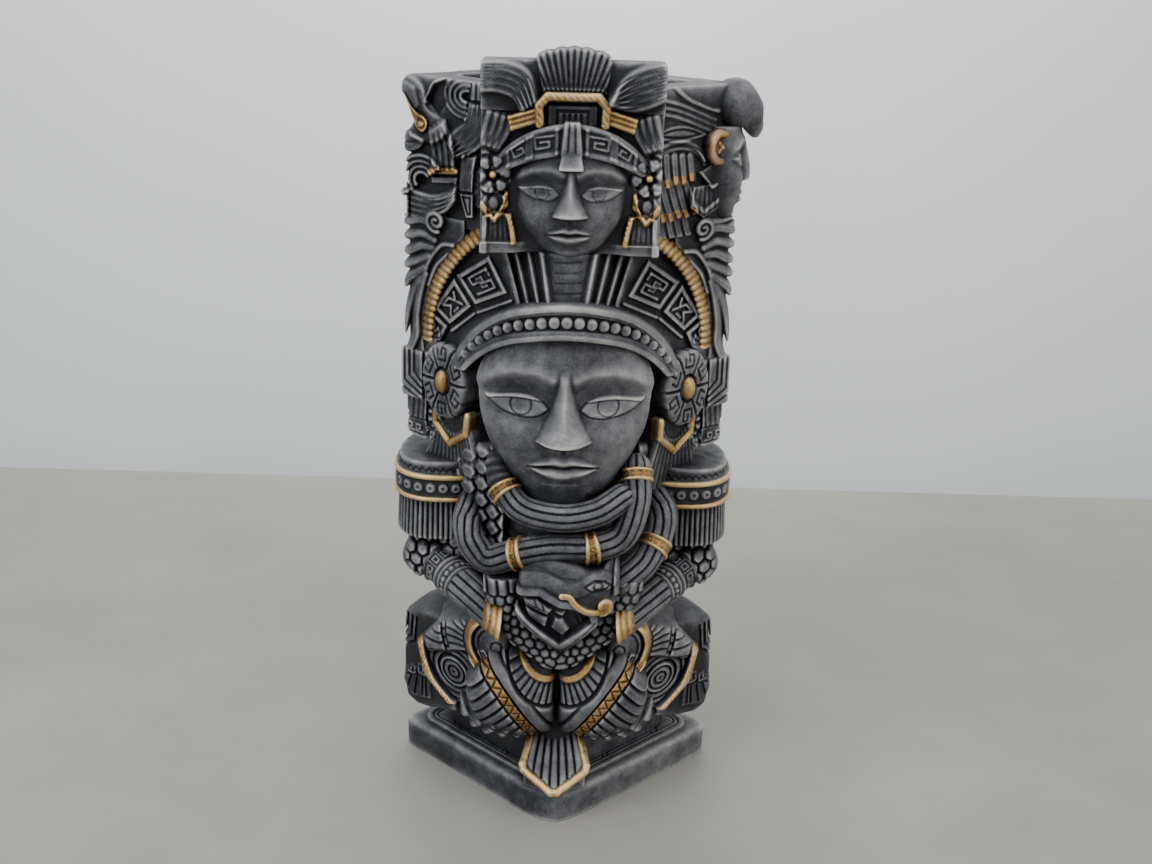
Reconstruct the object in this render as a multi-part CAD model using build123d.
"""Square-section totem figure: a seated figure carved round one corner of a pillar.

Millimetres. +Z is up, the origin is the middle of the plinth's underside, and the figure
faces -Y, which is one corner of the square plan. The pillar's other corners lie on -X, +X
and +Y. Every carved element is a separate solid that sits in its own shallow seat: a later
solid is cut back from the ones listed before it, and the pillar is cut last.
"""

import math
import os

from build123d import *

# Driving dimensions
PLINTH_SIDE = 100.0
PLINTH_HEIGHT = 14.0
PILLAR_SIDE = 76.0
PILLAR_ROUND = 14.0
PILLAR_TOP = 303.0
CORNER_TOP = 305.0
SEAT_SIDE = 72.0
SEAT_ROUND = 12.0
FIGURE_SIDE = 99.0
CREST_BACK, CREST_PLATE, CREST_SEAT = -36.0, -48.5, -44.0
HEAD_BOTTOM, HEAD_INNER = 247.0, 33.0
DEEP = 90.0

# Heights of the figure's levels
KNEE_BOTTOM, KNEE_TOP = 22.0, 70.0
ELBOW_BOTTOM, ELBOW_TOP = 90.0, 111.0
ARMLET_BOTTOM, ARMLET_TOP = 130.0, 141.0
SHOULDER_TOP = 147.0
CHIN, HAIRLINE = 141.0, 213.0
TAIL_BOTTOM, BOW_BOTTOM, BOW_TOP = 152.0, 170.0, 191.0
CREST_BOTTOM, CREST_TOP = 243.0, 315.0
PLUME_TOP = 319.0

# Headdress arcs, each a circle in the XZ plane: height of its centre and its radius
BAND_OUTER_Z, BAND_OUTER_R = 176.0, 49.5
BAND_INNER_Z, BAND_INNER_R = 162.0, 50.0
BAND_SIDE, BAND_ROUND = 103.0, 24.0
BEAD_COUNT, BEAD_R, BEAD_SPREAD = 21, 1.9, 55.0
ARCH_Z, ARCH_R = 200.0, 55.0
ROPE_R, ROPE_HALF = 58.0, 2.8

# Arms and serpent
DRUM_X, DRUM_HALF_X, DRUM_HALF_Y = 50.0, 20.0, 24.0
ELBOW = (61.0, -10.0, 101.0)
WRIST = (27.0, -52.0, 91.5)
FOREARM_R = 8.0
COIL_R = 6.0
SMALLEST_SOLID = 12.0

made = {}


def prism(side, corner, low, high):
    """Square prism with rounded corners that point along X and Y."""
    return rise(Rot(0, 0, 45) * RectangleRounded(side, side, corner), low, high)


def ring_prism(side, corner, low, high):
    """The band of a prism between the seats' depth and its own faces."""
    return prism(side, corner, low, high) - prism(SEAT_SIDE, SEAT_ROUND, low - 1, high + 1)


def front_cut(sketch, near=-DEEP, far=0.0):
    """A sketch of X and Z values, extruded along Y from near to far."""
    return Pos(0, far, 0) * extrude(Plane.XZ * sketch, amount=far - near, dir=(0, -1, 0))


def rise(plan, low, high):
    """Solid with the given XY plan between two heights."""
    return Pos(0, 0, low) * extrude(plan, amount=high - low, dir=(0, 0, 1))


def raised(plane, sketch, height):
    """A sketch on a slanting plane, raised along the plane's normal."""
    return extrude(plane * sketch, amount=height, dir=plane.z_dir)


def outline(*points):
    """Polygon of (X, Z) points."""
    return Polygon(*points, align=None)


def disc(x, z, radius):
    """Circle of the XZ sketches."""
    return Pos(x, z) * Circle(radius)


def mirrored(points, side):
    """The points with X turned to the given side."""
    return [(side * x, z) for x, z in points]


def apart(one, other):
    """True if the two boxes don't meet."""
    a, b = one.bounding_box(), other.bounding_box()
    low_a, high_a, low_b, high_b = tuple(a.min), tuple(a.max), tuple(b.min), tuple(b.max)
    return any(low_a[i] > high_b[i] or low_b[i] > high_a[i] for i in range(3))


def add(name, shape):
    """Cuts the shape back from every earlier node, drops crumbs and keeps it."""
    for other in made.values():
        if not apart(shape, other):
            shape = shape - other
    solids = [s for s in shape.solids() if s.volume > SMALLEST_SOLID]
    made[name] = solids[0] if len(solids) == 1 else Compound(children=solids)


def both(maker):
    """The left and right solids of a node that holds a pair."""
    return Compound(children=[s for side in (-1, 1) for s in maker(side).solids()])


def tube(route, radius):
    """Round tube along straight runs joined by tangent arcs."""
    bends = []
    for before, here, after in zip(route, route[1:], route[2:]):
        first, second = Vector(*here) - Vector(*before), Vector(*after) - Vector(*here)
        half_turn = math.radians(first.get_angle(second) / 2)
        bends.append(0.45 * min(first.length, second.length) / math.tan(half_turn))
    path = FilletPolyline(*route, radius=bends)
    start = Plane(origin=path @ 0, z_dir=path % 0)
    return sweep(start * Circle(radius), path=path)


def rod(start, end, radius):
    """Straight round bar between two points."""
    along = Vector(*end) - Vector(*start)
    return extrude(Plane(origin=start, z_dir=along) * Circle(radius), amount=along.length)


# Base


def plinth():
    """Square foot with an eased top edge and a rounder front corner."""
    block = prism(PLINTH_SIDE, 2, 0, PLINTH_HEIGHT)
    cut = rise(Pos(0, -PLINTH_SIDE / math.sqrt(2)) * Rectangle(12, 7), 0, PLINTH_HEIGHT)
    block = block - cut
    front = block.faces().sort_by(Axis.Y)[0].edges().filter_by(Axis.Z)
    block = fillet(front, 4)
    return chamfer(block.faces().sort_by(Axis.Z)[-1].edges(), 1.5)


APRON_PROFILE = [(-34, 14), (-34, 36), (-43, 34), (-55, 23), (-66, 19), (-66, 14)]
APRON_PLAN = [(-8, -34), (-15, -57), (0, -66), (15, -57), (8, -34)]
APRON_PANEL = [(-5.5, -33), (-11.5, -55.5), (0, -62.5), (11.5, -55.5), (5.5, -33)]


def apron_block(plan, lift):
    """The apron's sloping slab inside a plan outline of (X, Y) points."""
    side_view = Polygon(*[(y, z + lift if z > 16 else z) for y, z in APRON_PROFILE], align=None)
    slab = extrude(Plane.YZ * side_view, amount=20, both=True)
    return slab & rise(outline(*plan), 0, 50)


# Legs


def leg_wrap(side):
    """Rounded shin wrap, one each side of the middle line."""
    dome = Pos(side * 18.5, -37, 49) * Sphere(24.5)
    lane = Pos(side * 20.05, -40, 49) * Box(40, 60, 44)
    return (dome & lane) - prism(SEAT_SIDE, SEAT_ROUND, 10, 90)


def knee_block(side):
    """Corner block of the bent knee, undercut above the plinth."""
    view = mirrored([(46, 20), (62, 17), (70, 24), (72, 30), (72, 66), (67, 70), (46, 74)], side)
    return ring_prism(FIGURE_SIDE, 3, 16, 80) & front_cut(outline(*view), near=-24, far=24)


def kilt(side):
    """Pleated cloth over the thigh."""
    view = mirrored([(20, 24), (48, 24), (58, 36), (60, 62), (44, 78), (20, 78)], side)
    return ring_prism(91, 10, 18, 82) & front_cut(outline(*view))


# Arms


def forearm(side):
    """Forearm from the scaled elbow at the corner to the wrist."""
    x, y, z = ELBOW
    wx, wy, wz = WRIST
    low, top = ELBOW_BOTTOM, ELBOW_TOP
    view = mirrored([(42, low + 5), (58, low), (70, low + 5), (70, top), (42, top)], side)
    elbow = ring_prism(98, 6, low - 2, top) & front_cut(outline(*view), near=-26, far=26)
    return rod((side * x, y, z), (side * wx, wy, wz), FOREARM_R) + elbow


def wrist_cuff(side):
    """Gilded cuff at the end of the forearm."""
    x, y, z = ELBOW
    wx, wy, wz = WRIST
    share = 0.86
    start = (side * (x + (wx - x) * share), y + (wy - y) * share, z + (wz - z) * share)
    return rod(start, (side * wx, wy, wz), FOREARM_R + 1.2)


def drum(side, grow, low, high):
    """Elliptical slice of the upper arm."""
    plan = Pos(side * DRUM_X, 0) * Ellipse(DRUM_HALF_X + grow, DRUM_HALF_Y + grow)
    slice_ = rise(plan, low, high)
    outward = Pos(side * 60, 0, (low + high) / 2) * Box(60, 80, high - low)
    return (slice_ & outward) - prism(SEAT_SIDE, SEAT_ROUND, low - 1, high + 1)


# Chest and serpent


def torso():
    """Chest slab behind the serpent's coils."""
    view = outline((-40, 70), (-44, 128), (-40, 150), (40, 150), (44, 128), (40, 70))
    return ring_prism(88, 16, 70, 150) & front_cut(view)


COILS = {
    "coil_upper": [
        (-28, -39, 155), (-25, -46, 146), (-16, -53.5, 138),
        (0, -57.5, 137), (14, -55, 139), (24, -48, 143),
    ],
    "coil_middle": [
        (29, -43, 152),
        (29.5, -45, 140),
        (27, -48, 129),
        (14, -56, 123),
        (-4, -58.5, 123),
        (-19, -55, 118),
        (-29, -49.5, 114),
        (-36, -41.5, 119),
        (-38, -33, 130),
    ],
    "coil_lower": [(42, -28, 131), (41, -35, 122), (35, -42.5, 113), (25, -51, 107.5)],
}
CLIPS = [
    ("coil_upper", 1, 2, 0.75, 4.0),
    ("coil_middle", 0, 1, 0.75, 6.0),
    ("coil_middle", 3, 4, 0.2, 4.5),
    ("coil_middle", 5, 6, 0.85, 4.5),
    ("coil_lower", 1, 2, 0.5, 5.0),
]


def coil_clips():
    """Gilded bands round the serpent's body."""
    bands = []
    for name, first, second, share, width in CLIPS:
        a, b = Vector(*COILS[name][first]), Vector(*COILS[name][second])
        along = (b - a).normalized()
        middle = a + (b - a) * share
        ends = [tuple(middle + along * width * t) for t in (-0.5, 0.5)]
        bands.append(rod(*ends, COIL_R + 0.9))
    return Compound(children=[s for band in bands for s in band.solids()])


def serpent_head():
    """Serpent's head in profile, mouth open to -X."""
    skull = outline(
        (-16, 121), (-2, 119), (12, 116), (22, 119), (25, 112),
        (26, 100), (16, 93), (4, 80), (-10, 84), (-16, 92),
    )
    return front_cut(skull, near=-70, far=-52)


def serpent_gold():
    """Gilded curl along the serpent's upper jaw."""
    curl = outline(
        (1, 107), (5, 107), (11, 102.5), (16, 102), (17, 105), (21, 104), (21, 99), (16, 97.5), (9, 99.5),
    )
    return front_cut(curl, near=-71, far=-66)


def serpent_collar():
    """Scaled loop of the serpent's neck that cradles the head."""
    outer = outline(
        (-29, 108), (-27, 86), (-14, 72), (0, 68), (14, 72), (29, 86), (31, 106), (24, 106), (-22, 108),
    )
    return front_cut(outer, near=-64, far=-44)


def neck_scales():
    """Scaled bib at the left of the neck."""
    view = outline((-47, 126), (-28, 118), (-24, 132), (-30, 156), (-42, 158))
    return (prism(93, 14, 114, 160) - prism(SEAT_SIDE, SEAT_ROUND, 110, 162)) & front_cut(view)


def neck_loop():
    """Looped tassel at the right of the neck."""
    view = outline((33, 126), (46, 130), (47, 152), (40, 158), (31, 156))
    return (prism(94, 14, 114, 160) - prism(SEAT_SIDE, SEAT_ROUND, 110, 162)) & front_cut(view)


# Face and headdress


def face_mask():
    """Egg-shaped mask with a wedge nose."""
    edge = Spline(
        (0, CHIN), (17, 147), (30, 164), (36.5, 186), (29, 205),
        (0, HAIRLINE), (-29, 205), (-36.5, 186), (-30, 164), (-17, 147),
        periodic=True,
    )
    mask = front_cut(make_face(edge)) & (Pos(0, -18, 178) * Sphere(45))
    nose_side = Polygon((-58, 197), (-70, 171), (-70, 168), (-56, 166), align=None)
    nose = extrude(Plane.YZ * nose_side, amount=9, both=True)
    return (mask + nose) - prism(SEAT_SIDE, SEAT_ROUND, 130, 220)


def crescent():
    """Sketch of the headband between its two arcs."""
    ring = disc(0, BAND_OUTER_Z, BAND_OUTER_R) - disc(0, BAND_INNER_Z, BAND_INNER_R)
    return ring & outline((-60, 190), (60, 190), (60, 240), (-60, 240))


def brow_band():
    """Headband that carries the beads."""
    return ring_prism(BAND_SIDE, BAND_ROUND, 185, 230) & front_cut(crescent())


def front_y(side_length, corner, x):
    """Y of a rounded prism's front, at a distance x from the middle."""
    half = side_length / math.sqrt(2)
    if abs(x) > corner / math.sqrt(2):
        return abs(x) - half
    return corner * math.sqrt(2) - half - math.sqrt(corner**2 - x**2)


def brow_beads():
    """Row of round studs along the headband."""
    studs = []
    middle, reach = (BAND_OUTER_Z + BAND_INNER_Z) / 2, (BAND_OUTER_R + BAND_INNER_R) / 2
    for i in range(BEAD_COUNT):
        turn = math.radians(BEAD_SPREAD * (2 * i / (BEAD_COUNT - 1) - 1))
        x, z = reach * math.sin(turn), middle + reach * math.cos(turn)
        y = front_y(BAND_SIDE, BAND_ROUND, x)
        studs.append(front_cut(disc(x, z, BEAD_R), near=y - 1.2, far=y + 3.5))
    return Compound(children=[s for stud in studs for s in stud.solids()])


def arch_side(side):
    """Fretted panel of the headdress arch, beside the rays."""
    lane = outline(*mirrored([(19, 222), (30, 252), (60, 252), (60, 196), (44, 196)], side))
    view = (disc(0, ARCH_Z, ARCH_R) - disc(0, BAND_OUTER_Z, BAND_OUTER_R)) & lane
    return ring_prism(95, 10, 190, 256) & front_cut(view)


def fan_rays():
    """Fan of feather quills between the two fretted panels."""
    view = outline((-19, 222), (-30, 250), (30, 250), (19, 222)) - disc(0, BAND_OUTER_Z, BAND_OUTER_R)
    return ring_prism(90, 14, 215, 250) & front_cut(view)


def rope_arch(side):
    """Gilded cord round the arch."""
    lane = outline(*mirrored([(24, 256), (34, 240), (50, 199), (66, 199), (66, 256)], side))
    view = (disc(0, ARCH_Z, ROPE_R + ROPE_HALF) - disc(0, ARCH_Z, ROPE_R - ROPE_HALF)) & lane
    return ring_prism(99, 10, 196, 262) & front_cut(view)


def facing(side, along, out, z):
    """Plane parallel to a slanting front face; along is measured from the face's middle."""
    normal = Vector(side, -1, 0).normalized()
    across = Vector(side, 1, 0).normalized()
    origin = normal * out + across * along + Vector(0, 0, z)
    return Plane(origin=origin, x_dir=across, z_dir=normal)


EAR_ALONG, EAR_Z, EAR_WIDE, EAR_TALL = 19.0, 184.0, 27.0, 33.0


def ear_disc(side):
    """Round ear flare."""
    return raised(facing(side, EAR_ALONG, 36, EAR_Z), Ellipse(EAR_WIDE / 2, EAR_TALL / 2), 15)


def ear_stud(side):
    """Gilded boss in the middle of the ear flare."""
    return raised(facing(side, EAR_ALONG, 49, EAR_Z), Ellipse(3.2, 5.0), 3.6)


def ear_pendant(side):
    """Gilded chevron under the ear flare."""
    shape = Polygon(
        (-11, 2), (-11, -10), (0, -15), (11, -8), (11, 0),
        (8, 0), (8, -6), (0, -11), (-8, -7), (-8, 2),
        align=None,
    )
    return raised(facing(side, EAR_ALONG - 2, 44, EAR_Z - 14), shape, 6)


def ear_tassel(side):
    """Fringed tassel under the ear flare."""
    shape = Polygon((-10, 0), (-19, -27), (15, -24), (9, 0), align=None)
    return raised(facing(side, EAR_ALONG - 2, 36, EAR_Z - 14), shape, 11)


def bow(side):
    """Fretted knot at the corner, level with the ear."""
    loop = [(50, BOW_BOTTOM), (72, BOW_BOTTOM + 2), (72, BOW_TOP - 2), (70, BOW_TOP), (50, BOW_TOP)]
    view = mirrored(loop, side)
    return ring_prism(FIGURE_SIDE + 1, 2, BOW_BOTTOM, BOW_TOP) & front_cut(outline(*view), near=-26, far=26)


def bow_tail(side):
    """Fringed end of the knot."""
    tail = [(54, BOW_BOTTOM), (53, TAIL_BOTTOM), (67, TAIL_BOTTOM), (70, TAIL_BOTTOM + 4), (70, BOW_BOTTOM)]
    view = mirrored(tail, side)
    return ring_prism(FIGURE_SIDE, 3, TAIL_BOTTOM, BOW_BOTTOM) & front_cut(outline(*view), near=-22, far=22)


def side_plume(side):
    """Wavy plume that falls down the corner."""
    plume = [(50, BOW_TOP), (69, BOW_TOP), (71, 215), (72, 236), (70, 250), (46, 250), (50, 228)]
    view = mirrored(plume, side)
    return ring_prism(FIGURE_SIDE, 4, BOW_TOP, 250) & front_cut(outline(*view), near=-26, far=26)


# Crest: the small head on the chamfered corner above


def crest_panel():
    """Plate across the front corner, with the small head's flowers and tassels at its sides."""
    plate = outline((-34, CREST_BOTTOM), (34, CREST_BOTTOM), (34, CREST_TOP), (-34, CREST_TOP))
    panel = front_cut(plate, near=CREST_PLATE, far=CREST_BACK)
    for side in (-1, 1):
        view = mirrored([(19, 245), (34, 245), (34, 285), (24, 285), (20, 268)], side)
        panel = panel + front_cut(outline(*view), near=-53, far=CREST_SEAT)
    return panel


def crest_face():
    """Small mask with a wedge nose."""
    edge = Spline(
        (0, CREST_BOTTOM), (11, 245), (20, 259), (25, 277), (19, 290),
        (0, 293), (-19, 290), (-25, 277), (-20, 259), (-11, 245),
        periodic=True,
    )
    mask = front_cut(make_face(edge), far=CREST_SEAT) & (Pos(0, -31, 270) * Sphere(30))
    nose_side = Polygon((-57, 280), (-66, 263), (-66, 260), (-56, 258), align=None)
    return mask + extrude(Plane.YZ * nose_side, amount=6, both=True)


def crest_band():
    """Fretted headband of the small head, with its nose-piece."""
    view = (disc(0, 256, 41) - disc(0, 246, 41)) & outline((-34, 270), (34, 270), (34, 300), (-34, 300))
    band = front_cut(view, near=-61, far=CREST_SEAT)
    return band + front_cut(outline((-4, 297), (-5.5, 277), (5.5, 277), (4, 297)), near=-64, far=-54)


def crest_gold():
    """Gilded frame over the headband and a gilded bundle each side."""
    frame = outline(
        (-15, 297), (-17, 306), (-12, 310), (12, 310), (17, 306),
        (15, 297), (11, 297), (11, 304), (-11, 304), (-11, 297),
    )
    bundle = [(15, 303), (17, 309), (26, 304), (25, 297)]
    parts = [front_cut(frame, near=-58, far=CREST_SEAT)]
    for side in (-1, 1):
        parts.append(front_cut(outline(*mirrored(bundle, side)), near=-56, far=CREST_SEAT))
    return Compound(children=[s for part in parts for s in part.solids()])


def crest_plumes():
    """Upright feathers and the two side fans above the small head."""
    top = [
        (34, 296), (34, 315), (24, 315), (12, 318), (0, PLUME_TOP),
        (-12, 318), (-24, 315), (-34, 315), (-34, 296),
    ]
    return front_cut(outline(*top), near=-54, far=CREST_SEAT)


# Corner heads under the top


def serpent_profile():
    """Open-mouthed beast at the left corner, seen from its side."""
    view = outline(
        (-HEAD_INNER, HEAD_BOTTOM), (-62, HEAD_BOTTOM), (-71, 254), (-71, 268), (-66, 272),
        (-71, 278), (-68, 290), (-71, CORNER_TOP), (-HEAD_INNER, CORNER_TOP),
    )
    return ring_prism(FIGURE_SIDE + 1, 3, 245, CORNER_TOP) & front_cut(view, near=-40, far=40)


def warrior_face():
    """Human face in the beak at the right corner, looking along +X."""
    view = outline((50, 250), (66, 250), (69, 256), (70, 262), (72, 266), (68, 278), (66, 284), (50, 284))
    return front_cut(view, near=-17, far=17)


def eagle_hood():
    """Eagle's head and upper beak that cover the warrior's face."""
    lower = [(HEAD_INNER, HEAD_BOTTOM), (52, HEAD_BOTTOM), (55, 270), (60, 284), (72, 281)]
    upper = [(73, 292), (69, 302), (62, CORNER_TOP), (HEAD_INNER, CORNER_TOP)]
    width = outline((32, -40), (52, -24), (66, -17), (73, -9), (73, 9), (66, 17), (52, 24), (32, 40))
    hood = front_cut(outline(*lower, *upper), near=-40, far=40) & rise(width, 240, 310)
    return hood - prism(SEAT_SIDE, SEAT_ROUND, 240, 310)


def warrior_disc():
    """Round ear flares of the corner head, one each side."""
    discs = [front_cut(disc(57, 281, 7.5), near=near, far=far) for near, far in ((-24, -14), (14, 24))]
    return Compound(children=[s for d in discs for s in d.solids()])


# Back


def back_panel(side_length, corner, half_width, low, high):
    """Slab across the rear corner."""
    lane = Pos(0, 45, (low + high) / 2) * Box(2 * half_width, 90, high - low)
    return ring_prism(side_length, corner, low, high) & lane


def pillar():
    """Square core, filled out to the crest panel between the two corner heads."""
    core = prism(PILLAR_SIDE, PILLAR_ROUND, PLINTH_HEIGHT, PILLAR_TOP)
    height = PILLAR_TOP - HEAD_BOTTOM
    fill = Pos(0, CREST_BACK / 2, HEAD_BOTTOM + height / 2) * Box(2 * HEAD_INNER, -CREST_BACK, height)
    return core + fill


def build():
    """Adds every node, most prominent first."""
    add("plinth", plinth())
    trim = apron_block(APRON_PLAN, 1.0) - rise(outline(*APRON_PANEL), 0, 60)
    add("apron_trim", trim)
    add("apron", apron_block(APRON_PANEL, 0.0))
    for side, label in ((-1, "left"), (1, "right")):
        add(f"leg_wrap_{label}", leg_wrap(side))
        add(f"knee_block_{label}", knee_block(side))
    add("serpent_gold", serpent_gold())
    add("serpent_head", serpent_head())
    add("serpent_collar", serpent_collar())
    add("wrist_cuffs", both(wrist_cuff))
    for side, label in ((-1, "left"), (1, "right")):
        add(f"forearm_{label}", forearm(side))
        add(f"arm_fringe_{label}", drum(side, 0, ELBOW_TOP, ARMLET_BOTTOM))
        add(f"armlet_{label}", drum(side, 1.2, ARMLET_BOTTOM, ARMLET_TOP))
        add(f"shoulder_cap_{label}", drum(side, -1.0, ARMLET_TOP, SHOULDER_TOP))
    add("face_mask", face_mask())
    for name, route in COILS.items():
        add(name, tube(route, COIL_R))
    add("coil_clips", coil_clips())
    add("neck_scales", neck_scales())
    add("neck_loop", neck_loop())
    add("brow_beads", brow_beads())
    add("brow_band", brow_band())
    add("ear_studs", both(ear_stud))
    for side, label in ((-1, "left"), (1, "right")):
        add(f"ear_disc_{label}", ear_disc(side))
    add("ear_pendants", both(ear_pendant))
    add("ear_tassels", both(ear_tassel))
    add("crest_gold", crest_gold())
    add("crest_band", crest_band())
    add("crest_face", crest_face())
    add("crest_plumes", crest_plumes())
    add("crest_panel", crest_panel())
    add("rope_arches", both(rope_arch))
    for side, label in ((-1, "left"), (1, "right")):
        add(f"fret_arch_{label}", arch_side(side))
        add(f"bow_{label}", bow(side))
    add("bow_tails", both(bow_tail))
    add("fan_rays", fan_rays())
    add("warrior_discs", warrior_disc())
    add("warrior_face", warrior_face())
    add("eagle_hood", eagle_hood())
    add("serpent_profile", serpent_profile())
    for side, label in ((-1, "left"), (1, "right")):
        add(f"side_plume_{label}", side_plume(side))
        add(f"kilt_{label}", kilt(side))
    add("back_fan", back_panel(98, 8, 46, 243, CORNER_TOP))
    add("back_band", back_panel(99, 6, 50, 226, 243))
    add("back_cape", back_panel(96, 10, 46, 78, 226))
    add("back_skirt", back_panel(94, 10, 46, 20, 78))
    add("torso", torso())
    add("pillar", pillar())


build()
os.makedirs("parts", exist_ok=True)
for node, shape in made.items():
    export_step(shape, f"parts/{node}.step")
print(len(made), "nodes")
